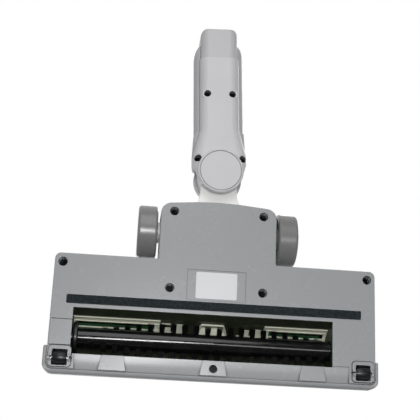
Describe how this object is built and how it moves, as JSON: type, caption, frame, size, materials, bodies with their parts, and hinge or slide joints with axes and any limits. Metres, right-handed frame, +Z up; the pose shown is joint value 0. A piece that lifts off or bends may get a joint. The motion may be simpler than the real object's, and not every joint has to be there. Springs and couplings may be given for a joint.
{
  "type": "vacuum floor brush",
  "caption": "Motorised floor brush of a stick vacuum: wide head with a spiral brush roll, belt drive, rear wheels, tilting neck and swivelling connector tube.",
  "frame": {"origin": "bottom centre of the whole brush: wheels and rollers touch z = 0", "axes": "+Z up, front bumper towards -Y, connector tube towards +Y, removable end cap towards +X"},
  "size_m": [0.256, 0.2948, 0.042],
  "materials": {
    "grey_sole_plastic": "smooth matt ABS",
    "pale_grey_plastic": "satin ABS",
    "light_rim_plastic": "satin ABS",
    "white_plastic": "satin acetal",
    "wheel_grey": "soft grey tyre on a plastic wheel",
    "roller_black": "black nylon",
    "cream_plastic": "cream ABS",
    "olive_liner": "dark moulded liner",
    "green_lens": "green tinted clear plastic",
    "black_gloss": "polished black roll",
    "black_bristle": "nylon bristle",
    "black_plastic": "black nylon",
    "dark_felt": "felt strip",
    "label_white": "blank vinyl label",
    "screw_steel": "blackened screws",
    "bare_steel": "ground steel",
    "motor_steel": "zinc plated can",
    "sinter_bronze": "sintered bush",
    "belt_rubber": "rubber drive belt",
    "contact_brass": "contact pins"
  },
  "bodies": {
    "head": {"sole_plate": "grey_sole_plastic", "top_shell": "pale_grey_plastic", "front_bumper": "light_rim_plastic", "brush_chamber": "olive_liner", "lens_frames": "cream_plastic", "viewing_window": "green_lens", "suction_duct": "cream_plastic", "felt_strip": "dark_felt", "rating_label": "label_white", "sole_screws": "screw_steel", "motor_can": "motor_steel", "motor_end_bell": "black_plastic", "motor_clamp": "cream_plastic", "drive_bush": "sinter_bronze", "drive_belt": "belt_rubber", "roller_pins": "bare_steel"},
    "brush": {"brush_core": "black_gloss", "brush_tufts": "black_bristle", "brush_flange_cap_side": "black_plastic", "brush_flange_drive_side": "black_plastic", "brush_axle": "bare_steel", "brush_pulley": "white_plastic"},
    "rotor": {"motor_shaft": "bare_steel", "motor_pulley": "sinter_bronze"},
    "cap": {"end_cap": "grey_sole_plastic", "cap_bush": "sinter_bronze"},
    "pivot": {"pivot_arm": "white_plastic", "wheel_axle_left": "bare_steel", "wheel_axle_right": "bare_steel"},
    "wheel_left": {"rear_wheel_left": "wheel_grey"},
    "wheel_right": {"rear_wheel_right": "wheel_grey"},
    "roller_left": {"front_roller_left": "roller_black"},
    "roller_right": {"front_roller_right": "roller_black"},
    "tube": {"tube_lower_shell": "pale_grey_plastic", "tube_upper_shell": "pale_grey_plastic", "spigot_pipe": "pale_grey_plastic", "swivel_cap_below": "pale_grey_plastic", "swivel_cap_above": "pale_grey_plastic", "tube_screws": "screw_steel", "contact_block": "black_plastic", "contact_pins": "contact_brass"}
  },
  "joints": [
    {"name": "neck_pitch", "type": "hinge", "parent": "head", "child": "pivot", "pos_m": [0, -0.03064, 0.021], "axis": [1, 0, 0], "range_deg": [0, 90]},
    {"name": "tube_swivel", "type": "hinge", "parent": "pivot", "child": "tube", "pos_m": [0, 0.02066, 0.021], "axis": [0, 0, 1], "range_deg": [-27.4, 32.6]},
    {"name": "wheel_left_spin", "type": "hinge", "parent": "pivot", "child": "wheel_left", "pos_m": [0.05575, -0.03064, 0.021], "axis": [1, 0, 0], "continuous": true},
    {"name": "wheel_right_spin", "type": "hinge", "parent": "pivot", "child": "wheel_right", "pos_m": [-0.05575, -0.03064, 0.021], "axis": [1, 0, 0], "continuous": true},
    {"name": "roller_left_spin", "type": "hinge", "parent": "head", "child": "roller_left", "pos_m": [0.1152, -0.13574, 0.0055], "axis": [1, 0, 0], "continuous": true},
    {"name": "roller_right_spin", "type": "hinge", "parent": "head", "child": "roller_right", "pos_m": [-0.1152, -0.13574, 0.0055], "axis": [1, 0, 0], "continuous": true},
    {"name": "brush_spin", "type": "hinge", "parent": "head", "child": "brush", "pos_m": [0, -0.11844, 0.0165], "axis": [1, 0, 0], "continuous": true},
    {"name": "motor_spin", "type": "hinge", "parent": "head", "child": "rotor", "pos_m": [-0.1025, -0.07344, 0.021], "axis": [1, 0, 0], "continuous": true},
    {"name": "end_cap_slide", "type": "slide", "parent": "head", "child": "cap", "axis": [1, 0, 0], "range_m": [0, 0.02]}
  ],
  "couplings": [
    {"joint": "motor_spin", "follows": "brush_spin", "ratio": 2}
  ]
}
